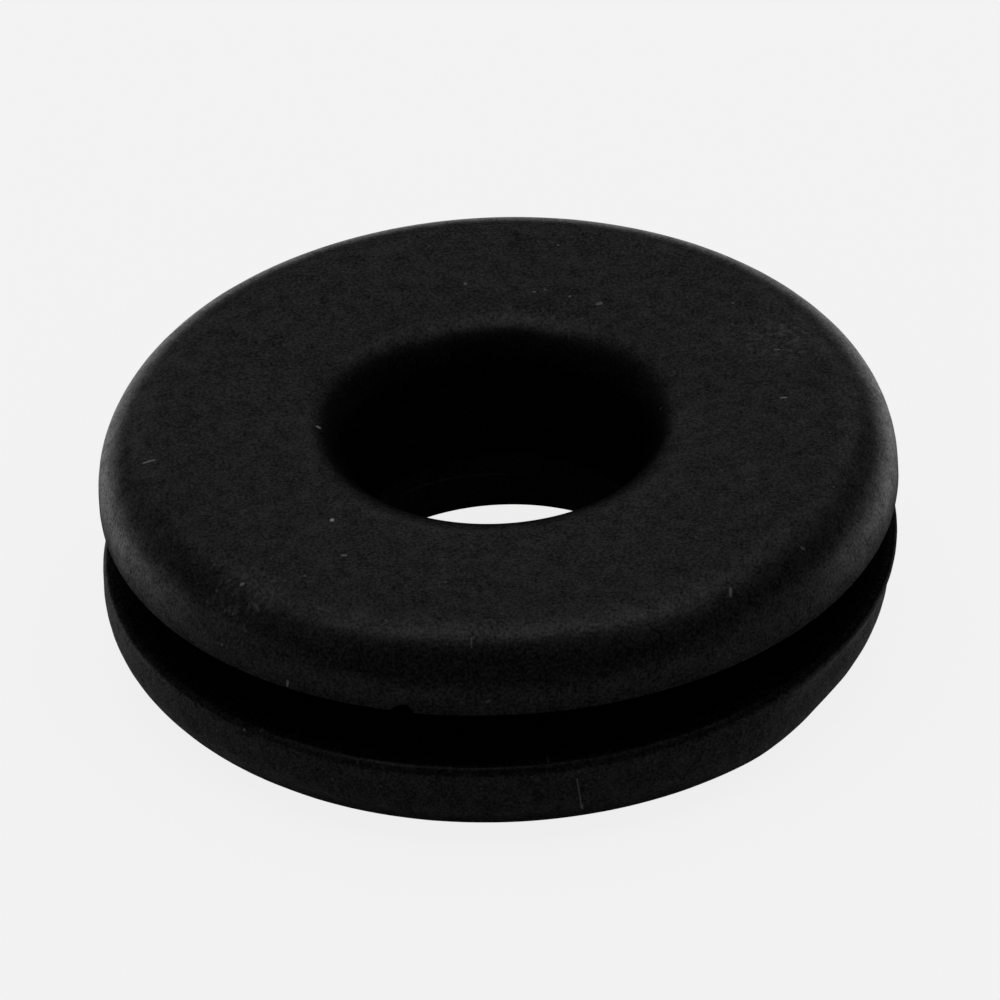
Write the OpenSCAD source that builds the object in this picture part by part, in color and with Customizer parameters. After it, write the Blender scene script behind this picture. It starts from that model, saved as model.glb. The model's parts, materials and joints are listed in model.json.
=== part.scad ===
// Moulded rubber grommet: a solid of revolution about Z, with two flanges on a hub and one groove
// for the panel. The origin is on the bore's axis, half way up the groove, where the panel's middle
// plane lies once the grommet is snapped in. The upper flange is on the +Z side.

/* [Panel fit] */
// Diameter of the groove's root, which fills the hole in the panel
groove_d = 18; // [14:0.5:22]
// Width of the groove, which takes the panel's thickness
groove_w = 2; // [1:0.1:5]
// Radius of the fillets in the groove's two inner corners
groove_fillet_r = 0.3; // [0.1:0.05:0.45]

/* [Bore] */
// Diameter of the straight bore that a cable or tube passes through
bore_d = 9.5; // [5:0.5:13]
// Radius that rounds the bore's upper mouth
upper_mouth_r = 2; // [0.4:0.1:3]
// Radius that rounds the bore's lower mouth
lower_mouth_r = 2; // [0.4:0.1:3]

/* [Flanges] */
// Outer diameter of the two flanges
flange_d = 26; // [24:0.5:36]
// Thickness of the upper flange, from the groove to the top face
upper_flange_t = 2.75; // [1.6:0.05:5]
// Thickness of the lower flange, from the groove to the bottom face
lower_flange_t = 3.1; // [2.4:0.1:6]
// Radius that rounds the upper flange's outer edge
upper_rim_r = 2.3; // [0.5:0.1:2.5]
// Radius that rounds the lower flange's outer edge
lower_rim_r = 2; // [0.5:0.1:2.8]
// Radius on the upper flange's edge at the groove, left nearly sharp by the mould
upper_lip_r = 0.1; // [0.05:0.05:0.2]
// Radius on the lower flange's edge at the groove
lower_lip_r = 0.4; // [0.1:0.05:0.6]

/* [Hidden] */
$fn = 180;

flange_r = flange_d / 2;
bore_r = bore_d / 2;
hub_r = groove_d / 2;

groove_top_z = groove_w / 2;
groove_bottom_z = -groove_w / 2;
top_z = groove_top_z + upper_flange_t;
bottom_z = groove_bottom_z - lower_flange_t;

// Each outer rounding and the lip under it share the flange's edge, so the rounding stops at the lip
upper_rim_round = min(upper_rim_r, upper_flange_t - upper_lip_r);
lower_rim_round = min(lower_rim_r, lower_flange_t - lower_lip_r);

// How far a cut runs past the face that it opens
past = 0.5;

// What a cutter takes off a square corner to leave a quarter round of radius r. The corner points
// along (out, up), and the quarter round's centre is r inside it both ways.
module corner_round(corner_x, corner_z, out, up, r) {
    translate([corner_x - out * r, corner_z - up * r])
        scale([out, up])
            difference() {
                square(r + past);
                circle(r);
            }
}

// Rubber left in an inner corner to make a fillet of radius r. The groove's open side is out, and
// its open height is towards up.
module corner_fillet(corner_x, corner_z, up, r) {
    translate([corner_x, corner_z])
        scale([1, up])
            difference() {
                translate([-past, -past])
                    square(r + past);
                translate([r, r])
                    circle(r);
            }
}

// A plain ring's section, from the inner to the outer radius and from the low to the high level
module ring_section(inner_r, outer_r, low_z, high_z) {
    translate([inner_r, low_z])
        square([outer_r - inner_r, high_z - low_z]);
}

// The flanges, hub and groove before their edges are rounded
module blank_section() {
    ring_section(bore_r, flange_r, groove_top_z, top_z);
    ring_section(bore_r, hub_r, bottom_z, top_z);
    ring_section(bore_r, flange_r, bottom_z, groove_bottom_z);
    corner_fillet(hub_r, groove_top_z, -1, groove_fillet_r);
    corner_fillet(hub_r, groove_bottom_z, 1, groove_fillet_r);
}

module grommet_section() {
    difference() {
        blank_section();
        corner_round(flange_r, top_z, 1, 1, upper_rim_round);
        corner_round(flange_r, groove_top_z, 1, -1, upper_lip_r);
        corner_round(flange_r, groove_bottom_z, 1, 1, lower_lip_r);
        corner_round(flange_r, bottom_z, 1, -1, lower_rim_round);
        corner_round(bore_r, top_z, -1, 1, upper_mouth_r);
        corner_round(bore_r, bottom_z, -1, -1, lower_mouth_r);
    }
}

module grommet() {
    color([0.11, 0.11, 0.11])
        rotate_extrude()
            grommet_section();
}

grommet();
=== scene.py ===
import json
import math

import bpy
from mathutils import Matrix, Vector


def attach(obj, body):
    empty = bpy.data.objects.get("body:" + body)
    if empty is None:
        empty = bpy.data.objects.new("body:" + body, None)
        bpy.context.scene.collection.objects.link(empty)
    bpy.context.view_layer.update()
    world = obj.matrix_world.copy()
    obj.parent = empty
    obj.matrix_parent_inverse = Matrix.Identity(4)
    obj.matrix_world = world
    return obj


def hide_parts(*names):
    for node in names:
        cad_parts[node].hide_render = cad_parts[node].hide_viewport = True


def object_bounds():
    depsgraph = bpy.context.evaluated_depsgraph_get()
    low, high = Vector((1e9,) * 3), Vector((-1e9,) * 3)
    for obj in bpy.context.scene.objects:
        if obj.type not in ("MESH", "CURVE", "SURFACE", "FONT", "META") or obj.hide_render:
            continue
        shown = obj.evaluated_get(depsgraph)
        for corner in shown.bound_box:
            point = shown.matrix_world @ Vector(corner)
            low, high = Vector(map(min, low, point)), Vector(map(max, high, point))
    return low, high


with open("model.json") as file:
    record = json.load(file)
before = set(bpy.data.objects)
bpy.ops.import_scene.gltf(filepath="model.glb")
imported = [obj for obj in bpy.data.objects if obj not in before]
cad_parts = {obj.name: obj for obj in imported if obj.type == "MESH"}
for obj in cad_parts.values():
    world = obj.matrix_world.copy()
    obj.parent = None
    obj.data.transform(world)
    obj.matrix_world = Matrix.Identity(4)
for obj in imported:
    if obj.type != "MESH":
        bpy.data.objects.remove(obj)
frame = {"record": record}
cad_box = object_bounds()


# Camera
# A long lens an arm's length away, so the rings' far and near edges look almost one size.
# It looks down on the upper flange, and it leans a little, so the right side stands higher.
MM = 0.001
CAMERA_ELEVATION = math.radians(35.03)
CAMERA_ROLL = math.radians(-2.58)
CAMERA_DISTANCE = 600 * MM
CAMERA_RIGHT = 0.006 * MM
CAMERA_UP = 0.313 * MM
FOCAL_PIXELS = 18465
IMAGE_PIXELS = 1000
SENSOR_WIDTH = 36
NEAREST = 10 * MM
FARTHEST = 10

back = Vector((0, -math.cos(CAMERA_ELEVATION), math.sin(CAMERA_ELEVATION)))
level_up = Vector((0, math.sin(CAMERA_ELEVATION), math.cos(CAMERA_ELEVATION)))
level_right = Vector((1, 0, 0))
right = math.cos(CAMERA_ROLL) * level_right + math.sin(CAMERA_ROLL) * level_up
up = math.cos(CAMERA_ROLL) * level_up - math.sin(CAMERA_ROLL) * level_right

camera_data = bpy.data.cameras.new("camera")
camera_data.sensor_width = SENSOR_WIDTH
camera_data.lens = FOCAL_PIXELS / IMAGE_PIXELS * SENSOR_WIDTH
camera_data.clip_start = NEAREST
camera_data.clip_end = FARTHEST
camera = bpy.data.objects.new("camera", camera_data)
camera_place = back * CAMERA_DISTANCE + right * CAMERA_RIGHT + up * CAMERA_UP
camera.matrix_world = Matrix.Translation(camera_place) @ Matrix((right, up, back)).transposed().to_4x4()
bpy.context.scene.collection.objects.link(camera)
bpy.context.scene.camera = camera
bpy.context.scene.view_settings.view_transform = "Standard"


# Floor
# A sheet of white card that the grommet lies on. The lens sees it nearly white with a soft shadow. In the
# rubber's reflections only, a painted glow lies on it, white behind and beside the grommet; in front and
# close by there is none, as painted shade, and the card shows grey.
FLOOR_SIZE = 1.2
FLOOR_GAP = 0.005 * MM
FLOOR_COLOUR = (0.8, 0.8, 0.8, 1)
FLOOR_LIFT = 0.85
PAINTED_FLOOR_GLOW = 0.7
GLOW_BACKWARDS = (-10 * MM, 8 * MM)
GLOW_OUTWARDS = (15.5 * MM, 26 * MM)
FAINTER_BACKWARDS = (14 * MM, 32 * MM)
FAINT_SHARE = 0.56


def add(tree, kind, **settings):
    """A new node of a tree, with its settings."""
    node = tree.nodes.new(kind)
    for name, value in settings.items():
        setattr(node, name, value)
    return node


def feed(tree, node, *sources):
    """Links or sets a node's inputs in their order, and gives its first output."""
    for socket, source in zip(node.inputs, sources):
        if isinstance(source, bpy.types.NodeSocket):
            tree.links.new(source, socket)
        else:
            socket.default_value = source
    return node.outputs[0]


def sums(tree, operation, *sources):
    """The result of one Math node."""
    return feed(tree, add(tree, "ShaderNodeMath", operation=operation), *sources)


def product(tree, *sources):
    """All the sources multiplied."""
    result = sources[0]
    for source in sources[1:]:
        result = sums(tree, "MULTIPLY", result, source)
    return result


def rise(tree, value, start, end):
    """Nought up to the start, one from the end on, and a smooth rise between them."""
    ramp = add(tree, "ShaderNodeMapRange", interpolation_type="SMOOTHSTEP")
    return feed(tree, ramp, value, start, end, 0.0, 1.0)


def from_to(tree, share, low, high):
    """The low value where the share is nought, and the high one where it is one."""
    return sums(tree, "MULTIPLY_ADD", share, high - low, low)


def cylinder_place(tree, position):
    """The X, Y and Z of a position, its radius and its angle round the bore's axis."""
    axes = add(tree, "ShaderNodeSeparateXYZ")
    tree.links.new(position, axes.inputs[0])
    x, y, z = axes.outputs
    radius = sums(tree, "SQRT", sums(tree, "MULTIPLY_ADD", x, x, product(tree, y, y)))
    return x, y, z, radius, sums(tree, "ARCTAN2", y, x)


floor_mesh = bpy.data.meshes.new("floor")
half = FLOOR_SIZE / 2
floor_z = cad_box[0].z - FLOOR_GAP
corners = [(-half, -half, floor_z), (half, -half, floor_z), (half, half, floor_z), (-half, half, floor_z)]
floor_mesh.from_pydata(corners, [], [(0, 1, 2, 3)])
floor = bpy.data.objects.new("floor", floor_mesh)
bpy.context.scene.collection.objects.link(floor)

card = bpy.data.materials.new("white_sheet")
card.use_nodes = True
tree = card.node_tree
tree.nodes.clear()
paths = add(tree, "ShaderNodeLightPath")
to_lens = product(tree, paths.outputs["Is Camera Ray"], FLOOR_LIFT)
lit = feed(tree, add(tree, "ShaderNodeBsdfDiffuse"), FLOOR_COLOUR)
white = add(tree, "ShaderNodeEmission").outputs[0]
seen = feed(tree, add(tree, "ShaderNodeMixShader"), to_lens, lit, white)
_, y, _, radius, _ = cylinder_place(tree, add(tree, "ShaderNodeTexCoord").outputs["Object"])
# Painted glow, seen only in reflections: on behind the grommet, fainter far back, fading near it as
# painted shade
behind = rise(tree, y, *GLOW_BACKWARDS)
clear_of_it = rise(tree, radius, *GLOW_OUTWARDS)
fainter = from_to(tree, rise(tree, y, *FAINTER_BACKWARDS), 1.0, FAINT_SHARE)
painted_glow = add(tree, "ShaderNodeEmission")
strength = product(tree, paths.outputs["Is Glossy Ray"], PAINTED_FLOOR_GLOW, behind, clear_of_it, fainter)
tree.links.new(strength, painted_glow.inputs["Strength"])
both = feed(tree, add(tree, "ShaderNodeAddShader"), seen, painted_glow.outputs[0])
tree.links.new(both, add(tree, "ShaderNodeOutputMaterial").inputs["Surface"])
floor_mesh.materials.append(card)


# Light
# Soft boxes in an arch round the grommet, the brightest overhead, where it makes the ridge along the
# upper rim. None stands in front, which leaves the groove and the bore black.
WORLD_GREY = (0.065, 0.065, 0.065, 1)
WORLD_SEEN = (1, 1, 1, 1)
ARCH_RADIUS = 420 * MM
# Name, side that it leans to, angle from straight up, angle spanned, length in mm and radiance
LAMPS = [
    ("overhead front", "back", -8, 14, 560, 1.25),
    ("overhead", "back", 6, 14, 560, 0.7),
    ("overhead back", "back", 20, 14, 560, 0.52),
    ("back high", "back", 34, 14, 560, 0.34),
    ("back middle", "back", 48, 14, 560, 0.16),
    ("back low", "back", 62.5, 15, 560, 0.3),
    ("left high", "left", 48.5, 27, 560, 0.12),
    ("left low", "left", 84, 8, 560, 0.44),
    ("right high", "right", 35, 30, 560, 0.18),
    ("right low", "right", 84, 8, 560, 0.33),
    ("left corner", "back left", 57, 14, 340, 0.06),
    ("right corner", "back right", 57, 14, 340, 0.18),
    ("left corner low", "back left", 71, 14, 340, 0.18),
    ("right corner low", "back right", 71, 14, 340, 0.08),
]
STRAIGHT_UP = Vector((0, 0, 1))
LEANS = {
    "back": Vector((0, 1, 0)),
    "left": Vector((-1, 0, 0)),
    "right": Vector((1, 0, 0)),
    "back left": Vector((-1, 1, 0)).normalized(),
    "back right": Vector((1, 1, 0)).normalized(),
}

world = bpy.data.worlds.new("studio")
world.use_nodes = True
tree = world.node_tree
tree.nodes.clear()
to_lens = add(tree, "ShaderNodeLightPath").outputs["Is Camera Ray"]
room = feed(tree, add(tree, "ShaderNodeBackground"), WORLD_GREY)
seen = feed(tree, add(tree, "ShaderNodeBackground"), WORLD_SEEN)
both = feed(tree, add(tree, "ShaderNodeMixShader"), to_lens, room, seen)
tree.links.new(both, add(tree, "ShaderNodeOutputWorld").inputs["Surface"])
bpy.context.scene.world = world

for name, side, angle, span, length, radiance in LAMPS:
    lamp_data = bpy.data.lights.new(name, "AREA")
    lamp_data.shape = "RECTANGLE"
    lamp_data.size = length * MM
    lamp_data.size_y = 2 * ARCH_RADIUS * math.tan(math.radians(span / 2))
    lamp_data.energy = radiance * math.pi * lamp_data.size * lamp_data.size_y
    outward = LEANS[side] * math.sin(math.radians(angle)) + STRAIGHT_UP * math.cos(math.radians(angle))
    along = LEANS[side].cross(STRAIGHT_UP)
    facing = Matrix((along, outward.cross(along), outward)).transposed().to_4x4()
    lamp = bpy.data.objects.new(name, lamp_data)
    lamp.matrix_world = Matrix.Translation(outward * ARCH_RADIUS) @ facing
    bpy.context.scene.collection.objects.link(lamp)


# Grommet
# One piece of black rubber, pressed in a two-part mould and pulled off the core that forms the bore.
# Its section is turned round the bore's axis: every band of it is a line or a quarter round.
mounts = {mount["name"]: mount for mount in frame["record"]["mounts"]}
FLANGE_R = cad_box[1].x
BORE_R = mounts["bore"]["dims"]["r_mm"] * MM
HUB_R = mounts["panel_groove"]["dims"]["r_mm"] * MM
GROOVE_TOP = mounts["panel_groove"]["dims"]["length_mm"] / 2 * MM
GROOVE_BOTTOM = -GROOVE_TOP
TOP = mounts["top_face"]["pos_m"][2]
BOTTOM = mounts["base"]["pos_m"][2]
UPPER_RIM = 2.3 * MM
LOWER_RIM = 2.0 * MM
UPPER_MOUTH = 2.0 * MM
LOWER_MOUTH = 2.0 * MM
UPPER_LIP = 0.1 * MM
LOWER_LIP = 0.4 * MM
GROOVE_FILLET = 0.3 * MM
SEGMENTS = 480
STRAIGHT_STEPS = 4
WELD_DISTANCE = 0.001 * MM

# The segments crowd round the nick, by this share, and spread out on the side across from it
CROWDING = 0.8

# Faults of this one. A nick is torn out of the upper lip at the front, the groove's two edges lean a
# little apart on the left, and the lower flange is pressed in on its front right. A fault's pairs of
# heights, radii and arcs say where it starts and where it reaches its full depth.
NICK_ANGLE = math.radians(255.1)
NICK_DEPTH = 0.29 * MM
NICK_LEFT = (-0.6 * MM, -0.02 * MM)
NICK_RIGHT = (0.35 * MM, 0.1 * MM)
LIP_LIFT = 0.05 * MM
LIFT_REACH = 8 * MM
UPPER_FROM_ABOVE = (2.3 * MM, 1.25 * MM)
UPPER_FROM_BELOW = (0.4 * MM, 0.9 * MM)
UPPER_OUTWARDS = (12 * MM, 12.85 * MM)
LOWER_LEAN = 0.012
LOWER_DROP = 0.05 * MM
LOWER_FROM_BELOW = (-3.4 * MM, -1.6 * MM)
LOWER_FROM_ABOVE = (-0.5 * MM, -0.9 * MM)
LOWER_OUTWARDS = (9.6 * MM, 10.5 * MM)
DENT_ANGLE = math.radians(-17)
DENT_WIDTH = math.radians(36)
DENT_FULL_SHARE = 0.4
DENT_DEPTH = 0.36 * MM
DENT_DOWNWARDS = (-1 * MM, -2 * MM)
DENT_OUTWARDS = (10 * MM, 12.5 * MM)
UNEVENNESS = 0.04 * MM
UNEVEN_OUTWARDS = (11 * MM, 12.8 * MM)
WAVES_PER_METRE = 0.5 / MM
FAULTS = {
    "Nick Angle": NICK_ANGLE, "Nick Depth": NICK_DEPTH, "Lip Lift": LIP_LIFT, "Lift Reach": LIFT_REACH,
    "Lower Lean": LOWER_LEAN, "Lower Drop": LOWER_DROP, "Dent Angle": DENT_ANGLE,
    "Dent Width": DENT_WIDTH, "Dent Depth": DENT_DEPTH, "Unevenness": UNEVENNESS,
}

# The section's round corners, once round it from the bore's upper mouth: centre, radius, first and
# last angle in quarter turns, and steps. A straight band joins each one to the next.
ROUNDS = [
    (BORE_R + UPPER_MOUTH, TOP - UPPER_MOUTH, UPPER_MOUTH, 2, 1, 12),
    (FLANGE_R - UPPER_RIM, TOP - UPPER_RIM, UPPER_RIM, 1, 0, 16),
    (FLANGE_R - UPPER_LIP, GROOVE_TOP + UPPER_LIP, UPPER_LIP, 0, -1, 4),
    (HUB_R + GROOVE_FILLET, GROOVE_TOP - GROOVE_FILLET, GROOVE_FILLET, 1, 2, 4),
    (HUB_R + GROOVE_FILLET, GROOVE_BOTTOM + GROOVE_FILLET, GROOVE_FILLET, 2, 3, 4),
    (FLANGE_R - LOWER_LIP, GROOVE_BOTTOM - LOWER_LIP, LOWER_LIP, 1, 0, 6),
    (FLANGE_R - LOWER_RIM, BOTTOM + LOWER_RIM, LOWER_RIM, 0, -1, 14),
    (BORE_R + LOWER_MOUTH, BOTTOM + LOWER_MOUTH, LOWER_MOUTH, -1, -2, 12),
]
QUARTER_TURN = math.pi / 2


def turned_band():
    """A band of the turned surface: an arc about a centre, or a line where its radius is nought."""
    tree = bpy.data.node_groups.new("turned band", "GeometryNodeTree")
    line_sockets = ["Start R", "Start Z", "End R", "End Z"]
    arc_sockets = ["Centre R", "Centre Z", "Radius", "Start Angle", "End Angle"]
    for name in line_sockets + arc_sockets + ["Crowding", "Crowd Angle"]:
        tree.interface.new_socket(name, in_out="INPUT", socket_type="NodeSocketFloat")
    for name in ["Steps", "Segments"]:
        tree.interface.new_socket(name, in_out="INPUT", socket_type="NodeSocketInt")
    tree.interface.new_socket("Geometry", in_out="OUTPUT", socket_type="NodeSocketGeometry")
    given = add(tree, "NodeGroupInput").outputs

    # The band starts as a flat square grid, whose X goes along the section and whose Y goes round
    side = 1.0
    grid = add(tree, "GeometryNodeMeshGrid")
    feed(tree, grid, side, side)
    tree.links.new(sums(tree, "ADD", given["Steps"], 1), grid.inputs["Vertices X"])
    tree.links.new(sums(tree, "ADD", given["Segments"], 1), grid.inputs["Vertices Y"])
    place = add(tree, "ShaderNodeSeparateXYZ")
    tree.links.new(add(tree, "GeometryNodeInputPosition").outputs[0], place.inputs[0])
    along = sums(tree, "ADD", place.outputs["X"], side / 2)
    around = sums(tree, "MULTIPLY", place.outputs["Y"], math.tau)
    swing = sums(tree, "SINE", sums(tree, "SUBTRACT", around, given["Crowd Angle"]))
    angle = sums(tree, "SUBTRACT", around, sums(tree, "MULTIPLY", swing, given["Crowding"]))

    def between(first, last):
        length = sums(tree, "SUBTRACT", given[last], given[first])
        return sums(tree, "MULTIPLY_ADD", along, length, given[first])

    bend = between("Start Angle", "End Angle")
    arc_r = sums(tree, "MULTIPLY_ADD", sums(tree, "COSINE", bend), given["Radius"], given["Centre R"])
    arc_z = sums(tree, "MULTIPLY_ADD", sums(tree, "SINE", bend), given["Radius"], given["Centre Z"])
    is_arc = sums(tree, "GREATER_THAN", given["Radius"], 0.0)
    point = []
    for line, arc in ((between("Start R", "End R"), arc_r), (between("Start Z", "End Z"), arc_z)):
        pick = add(tree, "ShaderNodeMix", data_type="FLOAT")
        feed(tree, pick, is_arc)
        tree.links.new(line, pick.inputs["A"])
        tree.links.new(arc, pick.inputs["B"])
        point.append(pick.outputs[0])
    flat = feed(tree, add(tree, "ShaderNodeCombineXYZ"), point[0], 0.0, point[1])
    spin = add(tree, "ShaderNodeVectorRotate", rotation_type="Z_AXIS")
    tree.links.new(flat, spin.inputs["Vector"])
    tree.links.new(angle, spin.inputs["Angle"])
    put = add(tree, "GeometryNodeSetPosition")
    tree.links.new(grid.outputs["Mesh"], put.inputs["Geometry"])
    tree.links.new(spin.outputs[0], put.inputs["Position"])
    tree.links.new(put.outputs[0], add(tree, "NodeGroupOutput").inputs[0])
    return tree


def moulding_faults():
    """Moves the turned surface for the nick, the leaning edges and the pressed side."""
    tree = bpy.data.node_groups.new("moulding faults", "GeometryNodeTree")
    tree.interface.new_socket("Geometry", in_out="INPUT", socket_type="NodeSocketGeometry")
    for name in FAULTS:
        tree.interface.new_socket(name, in_out="INPUT", socket_type="NodeSocketFloat")
    tree.interface.new_socket("Geometry", in_out="OUTPUT", socket_type="NodeSocketGeometry")
    given = add(tree, "NodeGroupInput").outputs
    position = add(tree, "GeometryNodeInputPosition").outputs[0]
    x, y, z, radius, angle = cylinder_place(tree, position)

    def arc_from(name):
        return sums(tree, "WRAP", sums(tree, "SUBTRACT", angle, given[name]), math.pi, -math.pi)

    # The upper lip rises at the nick, and the whole lip is a little higher in the middle than at its sides
    nick_arc = product(tree, arc_from("Nick Angle"), FLANGE_R)
    nick = product(tree, rise(tree, nick_arc, *NICK_LEFT), rise(tree, nick_arc, *NICK_RIGHT))
    sideways = sums(tree, "DIVIDE", x, given["Lift Reach"])
    lift = product(tree, given["Lip Lift"], sums(tree, "SUBTRACT", 1.0, product(tree, sideways, sideways)))
    above_groove = product(tree, rise(tree, z, *UPPER_FROM_ABOVE), rise(tree, z, *UPPER_FROM_BELOW))
    at_upper_lip = product(tree, above_groove, rise(tree, radius, *UPPER_OUTWARDS))
    upper = product(tree, at_upper_lip, sums(tree, "MULTIPLY_ADD", nick, given["Nick Depth"], lift))

    # The lower lip lies a little low, and it leans down to the left
    under_groove = product(tree, rise(tree, z, *LOWER_FROM_BELOW), rise(tree, z, *LOWER_FROM_ABOVE))
    at_lower_lip = product(tree, under_groove, rise(tree, radius, *LOWER_OUTWARDS))
    drop = sums(tree, "MULTIPLY", given["Lower Drop"], -1.0)
    leaning = sums(tree, "MULTIPLY_ADD", x, given["Lower Lean"], drop)
    level = sums(tree, "ADD", z, sums(tree, "MULTIPLY_ADD", at_lower_lip, leaning, upper))

    # The flanges' walls come inwards at the pressed side and, unevenly, all the way round
    dent_arc = sums(tree, "ABSOLUTE", arc_from("Dent Angle"))
    full_width = product(tree, given["Dent Width"], DENT_FULL_SHARE)
    dent_sides = rise(tree, dent_arc, given["Dent Width"], full_width)
    dent_place = product(tree, rise(tree, z, *DENT_DOWNWARDS), rise(tree, radius, *DENT_OUTWARDS))
    dent = product(tree, given["Dent Depth"], dent_sides, dent_place)
    waves = add(tree, "ShaderNodeTexNoise")
    tree.links.new(position, waves.inputs["Vector"])
    waves.inputs["Scale"].default_value = WAVES_PER_METRE
    uneven = product(tree, waves.outputs[0], given["Unevenness"], rise(tree, radius, *UNEVEN_OUTWARDS))
    inwards = sums(tree, "SUBTRACT", 1.0, sums(tree, "DIVIDE", sums(tree, "ADD", dent, uneven), radius))
    moved_x = product(tree, x, inwards)
    moved_y = product(tree, y, inwards)
    moved = feed(tree, add(tree, "ShaderNodeCombineXYZ"), moved_x, moved_y, level)
    put = add(tree, "GeometryNodeSetPosition")
    tree.links.new(given["Geometry"], put.inputs["Geometry"])
    tree.links.new(moved, put.inputs["Position"])
    tree.links.new(put.outputs[0], add(tree, "NodeGroupOutput").inputs[0])
    return tree


def arc_end(spot, turn):
    """The point of a round corner at a given number of quarter turns."""
    centre_r, centre_z, radius = spot[:3]
    angle = turn * QUARTER_TURN
    return centre_r + radius * math.cos(angle), centre_z + radius * math.sin(angle)


band = turned_band()
turning = bpy.data.node_groups.new("grommet turned from its section", "GeometryNodeTree")
turning.interface.new_socket("Geometry", in_out="OUTPUT", socket_type="NodeSocketGeometry")
turning.interface.new_socket("Segments", in_out="INPUT", socket_type="NodeSocketInt")
for name in ["Crowding", "Crowd Angle", *FAULTS]:
    turning.interface.new_socket(name, in_out="INPUT", socket_type="NodeSocketFloat")
turning.interface.new_socket("Rubber", in_out="INPUT", socket_type="NodeSocketMaterial")
given = add(turning, "NodeGroupInput").outputs
joined = add(turning, "GeometryNodeJoinGeometry")


def place_band(values):
    """One band of the section, with the values named in the dictionary."""
    node = add(turning, "GeometryNodeGroup", node_tree=band)
    for name, value in values.items():
        node.inputs[name].default_value = value
    for name in ("Segments", "Crowding", "Crowd Angle"):
        turning.links.new(given[name], node.inputs[name])
    turning.links.new(node.outputs[0], joined.inputs[0])


for spot, following in zip(ROUNDS, ROUNDS[1:] + ROUNDS[:1]):
    centre_r, centre_z, radius, first, last, steps = spot
    place_band({
        "Centre R": centre_r, "Centre Z": centre_z, "Radius": radius, "Steps": steps,
        "Start Angle": first * QUARTER_TURN, "End Angle": last * QUARTER_TURN,
    })
    start_r, start_z = arc_end(spot, last)
    end_r, end_z = arc_end(following, following[3])
    place_band({
        "Start R": start_r, "Start Z": start_z, "End R": end_r, "End Z": end_z, "Steps": STRAIGHT_STEPS,
    })

faulty = add(turning, "GeometryNodeGroup", node_tree=moulding_faults())
turning.links.new(joined.outputs[0], faulty.inputs["Geometry"])
for name in FAULTS:
    turning.links.new(given[name], faulty.inputs[name])
welded = add(turning, "GeometryNodeMergeByDistance")
turning.links.new(faulty.outputs[0], welded.inputs["Geometry"])
welded.inputs["Distance"].default_value = WELD_DISTANCE
smooth = add(turning, "GeometryNodeSetShadeSmooth")
turning.links.new(welded.outputs[0], smooth.inputs["Geometry"])
real = add(turning, "GeometryNodeRealizeInstances")
turning.links.new(smooth.outputs[0], real.inputs[0])
coat = add(turning, "GeometryNodeSetMaterial")
turning.links.new(real.outputs[0], coat.inputs["Geometry"])
turning.links.new(given["Rubber"], coat.inputs["Material"])
turning.links.new(coat.outputs[0], add(turning, "NodeGroupOutput").inputs[0])

# The rubber is a deep matt black under a thin polished skin. Both have the mould's fine grain and
# broader mottling. From here on, places are in mm on the piece.
RUBBER_BLACK = (0.0045, 0.0045, 0.0046)
SKIN_WEIGHT = 0.72
SKIN_IOR = 1.35
SKIN_ROUGHNESS = 0.32
GRAIN_PER_MM = 11
GRAIN_DETAIL = 1.5
SKIN_GRAIN = 2.2
BLACK_GRAIN = 7.0
MOTTLES_PER_MM = 1.8
MOTTLE = 1.1
GRAIN_BUMP = 0.3
GRAIN_HEIGHT = 0.01 * MM

# The bore is painted blacker and given a thinner skin, up to its mouth, as painted shade. The edge of the
# painted shade is oval and off centre: further out at the back, at the left and in the lower mouth.
BORE_PAINTED_SHADE_BLACK = 0.3
BORE_PAINTED_SHADE_SKIN = 0.18
MOUTH_OUTWARDS = (5.1, 5.95)
MOUTH_OVAL = 0.25
MOUTH_BACK = 0.25
MOUTH_LEFT = 0.1
MOUTH_BELOW = 0.9

# Both lips' skin is thinned as painted shade along the groove, the lower one's further down on the left
UPPER_LIP_SKIN = 0.35
UPPER_LIP_SHADE = (0.8, 1.9)
LOWER_LIP_SKIN = 0.08
LOWER_SKIN = 0.9
LOWER_SHADE_FROM = -0.98
LOWER_SHADE_DEEP = 0.28
LOWER_SHADE_LEAN = 0.024
LEAN_LEFT_OF = -3.0

# A faint pale line, a painted highlight in the dust's grey, runs along the bore's wall, over the lower
# mouth. It climbs towards the left and fades at both ends.
LINE_Z = -1.92
LINE_CLIMB = -0.07
LINE_EDGE = (0.06, 0.02)
LINE_WITHIN_R = 5.0
LINE_LEFTWARDS = (1.4, -0.6)
LINE_RIGHTWARDS = (-3.6, -2.4)
LINE_STRENGTH = 0.03

# Dust and lint lie on the upper face and cling to the walls, but not to the bore and the groove
DUST_AND_HIGHLIGHT_GREY = (0.35, 0.35, 0.34, 1)
FILM = 0.004
FLECKS_PER_MM = 1.1
FLECK_STRENGTH = 0.12
FLECK_EDGE = (0.07, 0.03)
EMPTY_SHARE = 0.8
TOP_UPWARDS = (2.4, 3.4)
DUSTY_OUTWARDS = (12.3, 12.5)
WALL_FROM_R = 12.75
WALL_BELOW = 2.0

# The walls' marks are laid out this far from the upper face's, so that none shows on both
SIDE_AWAY = 50

# A mark's edge is soft between these shares of its width, from its middle line
MARK_EDGE = (0.7, 0.2)

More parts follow.
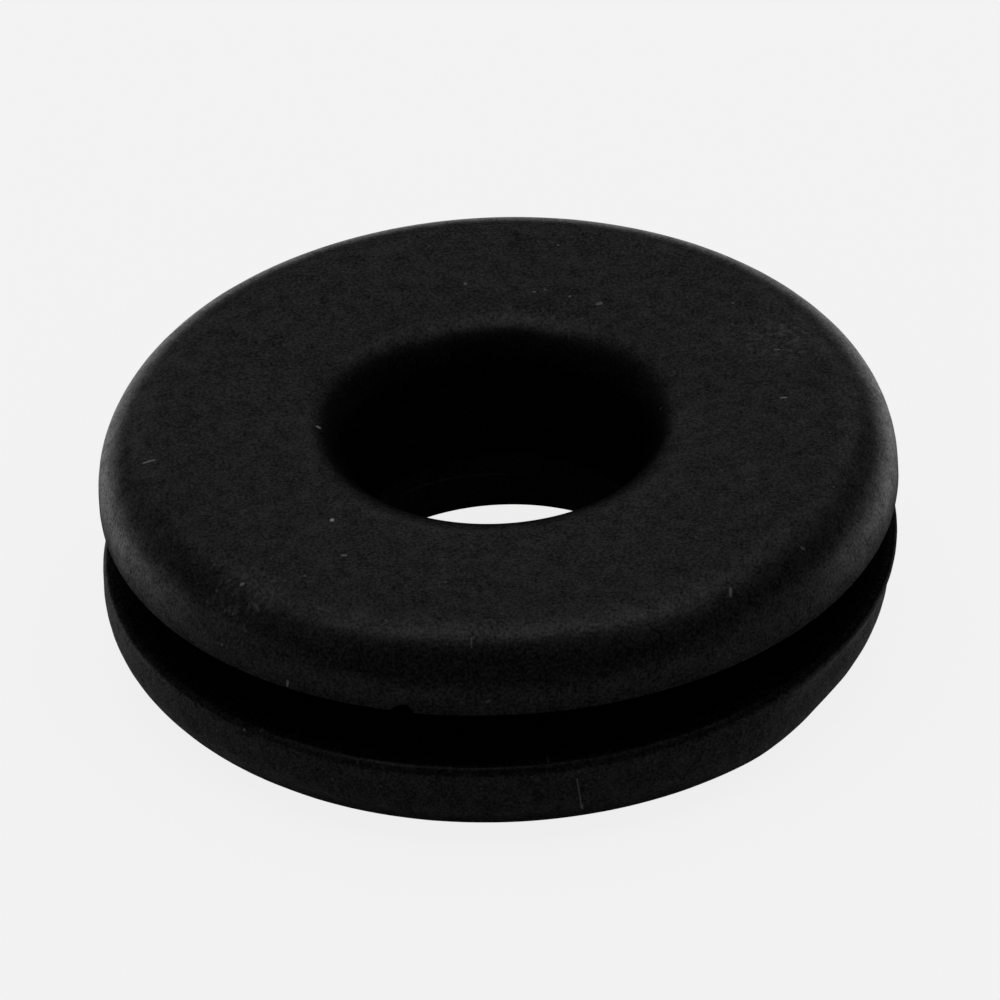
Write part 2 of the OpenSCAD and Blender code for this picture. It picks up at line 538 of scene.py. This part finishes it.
# Marks on the upper face: across and back, turn in degrees, length, width and strength
TOP_MARKS = [
    (-11.25, -1.6, 0, 0.42, 0.09, 0.45),
    (-5.4, -5.5, 90, 0.18, 0.14, 1.0),
    (-5.75, 0.15, 0, 0.16, 0.12, 0.6),
    (9.35, 0.25, 0, 0.22, 0.08, 0.55),
    (7.25, -9.75, 85, 0.28, 0.09, 0.3),
    (-5.05, -7.5, -10, 0.22, 0.1, 0.4),
    (9.65, -7.45, 10, 0.16, 0.1, 0.2),
    (3.55, 6.1, 15, 0.24, 0.15, 0.3),
    (-8.35, -8.4, 0, 0.16, 0.11, 0.4),
    (-0.8, 7.6, 0, 0.13, 0.12, 0.4),
    (9.25, 3.0, 0, 0.2, 0.08, 0.3),
    (2.3, 9.6, 0, 0.1, 0.1, 0.35),
    (7.9, 5.8, 0, 0.1, 0.1, 0.3),
    (2.6, 6.6, 0, 0.09, 0.09, 0.45),
    (1.45, 6.95, 0, 0.1, 0.08, 0.35),
    (1.8, 7.05, 0, 0.09, 0.09, 0.35),
    (-10.25, 5.3, 0, 0.09, 0.09, 0.35),
    (-1.1, -12.0, 88, 0.3, 0.06, 0.16),
    (-9.17, -8.19, 0, 0.1, 0.08, 0.15),
    (-9.5, -8.25, 0, 0.08, 0.08, 0.15),
    (-7.95, -9.27, -57, 0.48, 0.07, 0.1),
    (-8.68, -9.08, 0, 0.09, 0.08, 0.14),
    (-8.93, -8.85, 0, 0.09, 0.08, 0.14),
    (-8.8, -8.09, 0, 0.2, 0.08, 0.08),
    (-7.62, -8.85, 0, 0.3, 0.08, 0.06),
    (-6.32, -8.54, 0, 0.1, 0.09, 0.25),
    (-5.75, -10.16, -30, 0.5, 0.08, 0.06),
    (7.83, 4.59, 0, 0.09, 0.09, 0.15),
    (8.36, 4.02, 0, 0.12, 0.09, 0.15),
    (9.44, 4.0, 20, 0.3, 0.08, 0.1),
    (9.83, 3.22, 0, 0.15, 0.1, 0.1),
    (8.1, -4.25, 30, 0.35, 0.07, 0.08),
]

# Marks on the flanges' walls: degrees round the axis from the right, height, and then the same values
SIDE_MARKS = [
    (-122.8, 1.25, 80, 0.28, 0.09, 0.4),
    (-92.9, 1.65, 30, 0.18, 0.12, 0.15),
    (-101.6, 1.06, 0, 0.95, 0.06, 0.16),
    (-131.2, -1.35, 0, 0.1, 0.08, 0.3),
    (-134.5, 1.7, 90, 0.12, 0.08, 0.3),
    (-80.5, -2.3, 96, 1.35, 0.05, 0.22),
    (-80.1, -2.9, 96, 0.3, 0.08, 0.3),
]

# Scuffed patches of the upper flange: across and back, width and depth, and strength
SCUFFS = [
    (9.5, 3.7, 4.8, 3.6, 0.12),
    (-8.2, -8.8, 4.0, 3.0, 0.1),
    (11.1, -1.4, 0.5, 0.6, 0.05),
]
SCUFF_FLECKS_PER_MM = 4.5
SCUFF_DETAIL = 3
SCUFF_THICK = (0.48, 0.72)
SCUFF_FILM = 0.08
SCUFF_EDGE = (0.5, 0.15)


def new_shader_group(name, inputs, outputs):
    """An empty shader group and its given sockets. Inputs and outputs map names to socket kinds."""
    tree = bpy.data.node_groups.new(name, "ShaderNodeTree")
    for label, kind in inputs.items():
        tree.interface.new_socket(label, in_out="INPUT", socket_type="NodeSocket" + kind)
    for label, kind in outputs.items():
        tree.interface.new_socket(label, in_out="OUTPUT", socket_type="NodeSocket" + kind)
    return tree, add(tree, "NodeGroupInput").outputs


def from_centre(tree, given):
    """The place as seen from a mark's centre."""
    away = add(tree, "ShaderNodeVectorMath", operation="SUBTRACT")
    return feed(tree, away, given["Place"], given["Centre"])


def mark_group():
    """One speck or fibre: a bar with round, soft ends."""
    inputs = {"Place": "Vector", "Centre": "Vector", "Turn": "Float", "Length": "Float", "Width": "Float"}
    tree, given = new_shader_group("mark", inputs, {"Mask": "Float"})
    turned = add(tree, "ShaderNodeVectorRotate", rotation_type="Z_AXIS")
    tree.links.new(from_centre(tree, given), turned.inputs["Vector"])
    tree.links.new(product(tree, given["Turn"], -1.0), turned.inputs["Angle"])
    axes = add(tree, "ShaderNodeSeparateXYZ")
    tree.links.new(turned.outputs[0], axes.inputs[0])
    along = sums(tree, "ABSOLUTE", axes.outputs[0])
    across = axes.outputs[1]
    straight = product(tree, sums(tree, "SUBTRACT", given["Length"], given["Width"]), 0.5)
    beyond = sums(tree, "MAXIMUM", sums(tree, "SUBTRACT", along, straight), 0.0)
    reach = sums(tree, "SQRT", sums(tree, "MULTIPLY_ADD", beyond, beyond, product(tree, across, across)))
    outer, inner = [product(tree, given["Width"], share) for share in MARK_EDGE]
    tree.links.new(rise(tree, reach, outer, inner), add(tree, "NodeGroupOutput").inputs[0])
    return tree


def scuff_group():
    """A patch of fine pale flecks on a faint film, which thins out towards its edge."""
    inputs = {"Place": "Vector", "Centre": "Vector", "Size": "Vector"}
    tree, given = new_shader_group("scuff", inputs, {"Mask": "Float"})
    scaled = add(tree, "ShaderNodeVectorMath", operation="DIVIDE")
    feed(tree, scaled, from_centre(tree, given), given["Size"])
    reach = add(tree, "ShaderNodeVectorMath", operation="LENGTH")
    tree.links.new(scaled.outputs[0], reach.inputs[0])
    noise = add(tree, "ShaderNodeTexNoise", noise_dimensions="2D")
    tree.links.new(given["Place"], noise.inputs["Vector"])
    noise.inputs["Scale"].default_value = SCUFF_FLECKS_PER_MM
    noise.inputs["Detail"].default_value = SCUFF_DETAIL
    thick = from_to(tree, rise(tree, noise.outputs[0], *SCUFF_THICK), SCUFF_FILM, 1.0)
    mask = product(tree, thick, rise(tree, reach.outputs["Value"], *SCUFF_EDGE))
    tree.links.new(mask, add(tree, "NodeGroupOutput").inputs[0])
    return tree


def flecks_group():
    """Dust specks strewn at random, about one to four square millimetres."""
    tree, given = new_shader_group("flecks", {"Place": "Vector", "Cells": "Float"}, {"Mask": "Float"})
    cells = add(tree, "ShaderNodeTexVoronoi", voronoi_dimensions="2D")
    tree.links.new(given["Place"], cells.inputs["Vector"])
    tree.links.new(given["Cells"], cells.inputs["Scale"])
    chance = add(tree, "ShaderNodeSeparateColor")
    tree.links.new(cells.outputs["Color"], chance.inputs[0])
    full = sums(tree, "GREATER_THAN", chance.outputs[0], EMPTY_SHARE)
    mask = product(tree, rise(tree, cells.outputs["Distance"], *FLECK_EDGE), full, chance.outputs[1])
    tree.links.new(mask, add(tree, "NodeGroupOutput").inputs[0])
    return tree


def grain_group():
    """The mould's fine grain: factors round one for the skin and for the black, and the bare noise."""
    inputs = {
        "Place": "Vector", "Grains": "Float", "Skin Contrast": "Float", "Black Contrast": "Float",
        "Mottles": "Float", "Mottle Contrast": "Float",
    }
    tree, given = new_shader_group("grain", inputs, {"Skin": "Float", "Black": "Float", "Height": "Float"})
    fine = add(tree, "ShaderNodeTexNoise")
    tree.links.new(given["Place"], fine.inputs["Vector"])
    tree.links.new(given["Grains"], fine.inputs["Scale"])
    fine.inputs["Detail"].default_value = GRAIN_DETAIL
    broad = add(tree, "ShaderNodeTexNoise")
    tree.links.new(given["Place"], broad.inputs["Vector"])
    tree.links.new(given["Mottles"], broad.inputs["Scale"])
    swing = sums(tree, "SUBTRACT", fine.outputs[0], 0.5)
    patches = product(tree, sums(tree, "SUBTRACT", broad.outputs[0], 0.5), given["Mottle Contrast"])
    level = sums(tree, "ADD", patches, 1.0)
    ends = add(tree, "NodeGroupOutput").inputs
    for end, contrast in (("Skin", "Skin Contrast"), ("Black", "Black Contrast")):
        factor = sums(tree, "MAXIMUM", sums(tree, "MULTIPLY_ADD", swing, given[contrast], level), 0.0)
        tree.links.new(factor, ends[end])
    tree.links.new(fine.outputs[0], ends["Height"])
    return tree


rubber = bpy.data.materials.new("black_rubber")
rubber.use_nodes = True
tree = rubber.node_tree
shader = tree.nodes["Principled BSDF"]
metres = add(tree, "ShaderNodeTexCoord").outputs["Object"]
to_mm = Vector((1, 1, 1)) / MM
place = feed(tree, add(tree, "ShaderNodeVectorMath", operation="MULTIPLY"), metres, to_mm)
x, y, z, radius, angle = cylinder_place(tree, place)

# Marks on the upper face go by across and back, and those on the walls by the way round and height
top_place = feed(tree, add(tree, "ShaderNodeCombineXYZ"), x, y, 0.0)
way_round = product(tree, angle, FLANGE_R / MM)
side_place = feed(tree, add(tree, "ShaderNodeCombineXYZ"), way_round, sums(tree, "ADD", z, SIDE_AWAY), 0.0)
past_face = sums(tree, "GREATER_THAN", radius, WALL_FROM_R)
on_side = sums(tree, "MAXIMUM", past_face, sums(tree, "LESS_THAN", z, WALL_BELOW))
spot = add(tree, "ShaderNodeMix", data_type="VECTOR")
spot_factor, spot_top, spot_side = spot.inputs[0], spot.inputs[4], spot.inputs[5]
tree.links.new(on_side, spot_factor)
tree.links.new(top_place, spot_top)
tree.links.new(side_place, spot_side)
spot_place = spot.outputs[1]
mark = mark_group()
dust_and_highlight = 0.0


def lay_mark(dust_and_highlight, centre, turn, length, width, strength):
    """The dust so far with one more mark on it."""
    node = add(tree, "ShaderNodeGroup", node_tree=mark)
    tree.links.new(spot_place, node.inputs["Place"])
    node.inputs["Centre"].default_value = centre
    node.inputs["Turn"].default_value = math.radians(turn)
    node.inputs["Length"].default_value = length
    node.inputs["Width"].default_value = width
    return sums(tree, "MAXIMUM", dust_and_highlight, product(tree, node.outputs[0], strength))


for across, backwards, turn, length, width, strength in TOP_MARKS:
    dust_and_highlight = lay_mark(dust_and_highlight, (across, backwards, 0), turn, length, width, strength)
for degrees, height, turn, length, width, strength in SIDE_MARKS:
    arc = math.radians(degrees) * FLANGE_R / MM
    dust_and_highlight = lay_mark(dust_and_highlight, (arc, height + SIDE_AWAY, 0), turn, length, width, strength)
scuff = scuff_group()
for across, backwards, wide, deep, strength in SCUFFS:
    node = add(tree, "ShaderNodeGroup", node_tree=scuff)
    tree.links.new(spot_place, node.inputs["Place"])
    node.inputs["Centre"].default_value = (across, backwards, 0)
    node.inputs["Size"].default_value = (wide, deep, 1)
    dust_and_highlight = sums(tree, "MULTIPLY_ADD", node.outputs[0], strength, dust_and_highlight)
flecks = add(tree, "ShaderNodeGroup", node_tree=flecks_group())
tree.links.new(spot_place, flecks.inputs["Place"])
flecks.inputs["Cells"].default_value = FLECKS_PER_MM
dust_and_highlight = sums(tree, "MULTIPLY_ADD", flecks.outputs[0], FLECK_STRENGTH, dust_and_highlight)
on_top = rise(tree, z, *TOP_UPWARDS)
outside = sums(tree, "MAXIMUM", on_top, rise(tree, radius, *DUSTY_OUTWARDS))
dust_and_highlight = sums(tree, "MULTIPLY_ADD", on_top, FILM, product(tree, dust_and_highlight, outside))

# The bore's line, a painted highlight
line_height = sums(tree, "MULTIPLY_ADD", sums(tree, "MINIMUM", x, 0.0), LINE_CLIMB, LINE_Z)
line_off = sums(tree, "ABSOLUTE", sums(tree, "SUBTRACT", z, line_height))
in_bore = sums(tree, "LESS_THAN", radius, LINE_WITHIN_R)
line_ends = product(tree, rise(tree, x, *LINE_LEFTWARDS), rise(tree, x, *LINE_RIGHTWARDS))
line = product(tree, rise(tree, line_off, *LINE_EDGE), in_bore, line_ends)
dust_and_highlight = sums(tree, "MULTIPLY_ADD", line, LINE_STRENGTH, dust_and_highlight)

# The bore's painted shade
across = sums(tree, "DIVIDE", x, radius)
backwards = sums(tree, "DIVIDE", y, radius)
oval = from_to(tree, product(tree, across, across), -MOUTH_OVAL, MOUTH_OVAL)
off_centre = sums(tree, "MULTIPLY_ADD", backwards, MOUTH_BACK, oval)
off_centre = sums(tree, "MULTIPLY_ADD", across, -MOUTH_LEFT, off_centre)
below = sums(tree, "LESS_THAN", z, 0.0)
off_centre = sums(tree, "MULTIPLY_ADD", below, MOUTH_BELOW, off_centre)
out_of_bore_shade = rise(tree, sums(tree, "SUBTRACT", radius, off_centre), *MOUTH_OUTWARDS)
bore_shade_skin = from_to(tree, out_of_bore_shade, BORE_PAINTED_SHADE_SKIN, 1.0)

# The lips' painted shade
left_part = sums(tree, "MINIMUM", sums(tree, "SUBTRACT", x, LEAN_LEFT_OF), 0.0)
shade_from = sums(tree, "MULTIPLY_ADD", left_part, LOWER_SHADE_LEAN, LOWER_SHADE_FROM)
under_lip = rise(tree, z, shade_from, sums(tree, "SUBTRACT", shade_from, LOWER_SHADE_DEEP))
lower_skin = from_to(tree, under_lip, LOWER_LIP_SKIN, LOWER_SKIN)
lower_skin = sums(tree, "MAXIMUM", lower_skin, sums(tree, "GREATER_THAN", z, 0.0))
upper_skin = from_to(tree, rise(tree, z, *UPPER_LIP_SHADE), UPPER_LIP_SKIN, 1.0)
upper_skin = sums(tree, "MAXIMUM", upper_skin, below)

# The skin and the black under it. The bore's painted shade thins the skin and darkens the black.
grain = add(tree, "ShaderNodeGroup", node_tree=grain_group())
tree.links.new(place, grain.inputs["Place"])
grain.inputs["Grains"].default_value = GRAIN_PER_MM
grain.inputs["Skin Contrast"].default_value = SKIN_GRAIN
grain.inputs["Black Contrast"].default_value = BLACK_GRAIN
grain.inputs["Mottles"].default_value = MOTTLES_PER_MM
grain.inputs["Mottle Contrast"].default_value = MOTTLE
# The skin is thinned in the lips' painted shade as well
skin = product(tree, grain.outputs["Skin"], SKIN_WEIGHT, bore_shade_skin, lower_skin, upper_skin)
blackness = product(tree, grain.outputs["Black"], sums(tree, "MAXIMUM", out_of_bore_shade, BORE_PAINTED_SHADE_BLACK))
grained = add(tree, "ShaderNodeVectorMath", operation="SCALE")
grained.inputs[0].default_value = RUBBER_BLACK
tree.links.new(blackness, grained.inputs["Scale"])
# The black is mixed towards grey by the dust and by the bore's painted highlight
colour = add(tree, "ShaderNodeMix", data_type="RGBA")
colour_factor, colour_black, colour_dust_and_highlight = colour.inputs[0], colour.inputs[6], colour.inputs[7]
tree.links.new(sums(tree, "MINIMUM", dust_and_highlight, 1.0), colour_factor)
tree.links.new(grained.outputs[0], colour_black)
colour_dust_and_highlight.default_value = DUST_AND_HIGHLIGHT_GREY
bump = add(tree, "ShaderNodeBump")
bump.inputs["Strength"].default_value = GRAIN_BUMP
bump.inputs["Distance"].default_value = GRAIN_HEIGHT
tree.links.new(grain.outputs["Height"], bump.inputs["Height"])
tree.links.new(colour.outputs[2], shader.inputs["Base Color"])
tree.links.new(bump.outputs[0], shader.inputs["Normal"])
tree.links.new(skin, shader.inputs["Coat Weight"])
shader.inputs["Coat Roughness"].default_value = SKIN_ROUGHNESS
shader.inputs["Coat IOR"].default_value = SKIN_IOR
shader.inputs["Specular IOR Level"].default_value = 0
shader.inputs["Roughness"].default_value = 1

blank = bpy.data.meshes.new("grommet_blank")
source = bpy.data.objects.new("grommet_source", blank)
bpy.context.scene.collection.objects.link(source)
build = source.modifiers.new("turning", "NODES")
build.node_group = turning
turning_sizes = {"Segments": SEGMENTS, "Crowding": CROWDING, "Crowd Angle": NICK_ANGLE, **FAULTS}
settings = {"Rubber": rubber, **turning_sizes}
for item in turning.interface.items_tree:
    if item.in_out == "INPUT":
        build[item.identifier] = settings[item.name]
bpy.context.view_layer.update()
depsgraph = bpy.context.evaluated_depsgraph_get()
made = bpy.data.meshes.new_from_object(source.evaluated_get(depsgraph))
bpy.data.objects.remove(source)
made.name = "grommet_rubber"
grommet = bpy.data.objects.new("grommet_rubber", made)
bpy.context.scene.collection.objects.link(grommet)
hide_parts("grommet")
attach(grommet, "root")
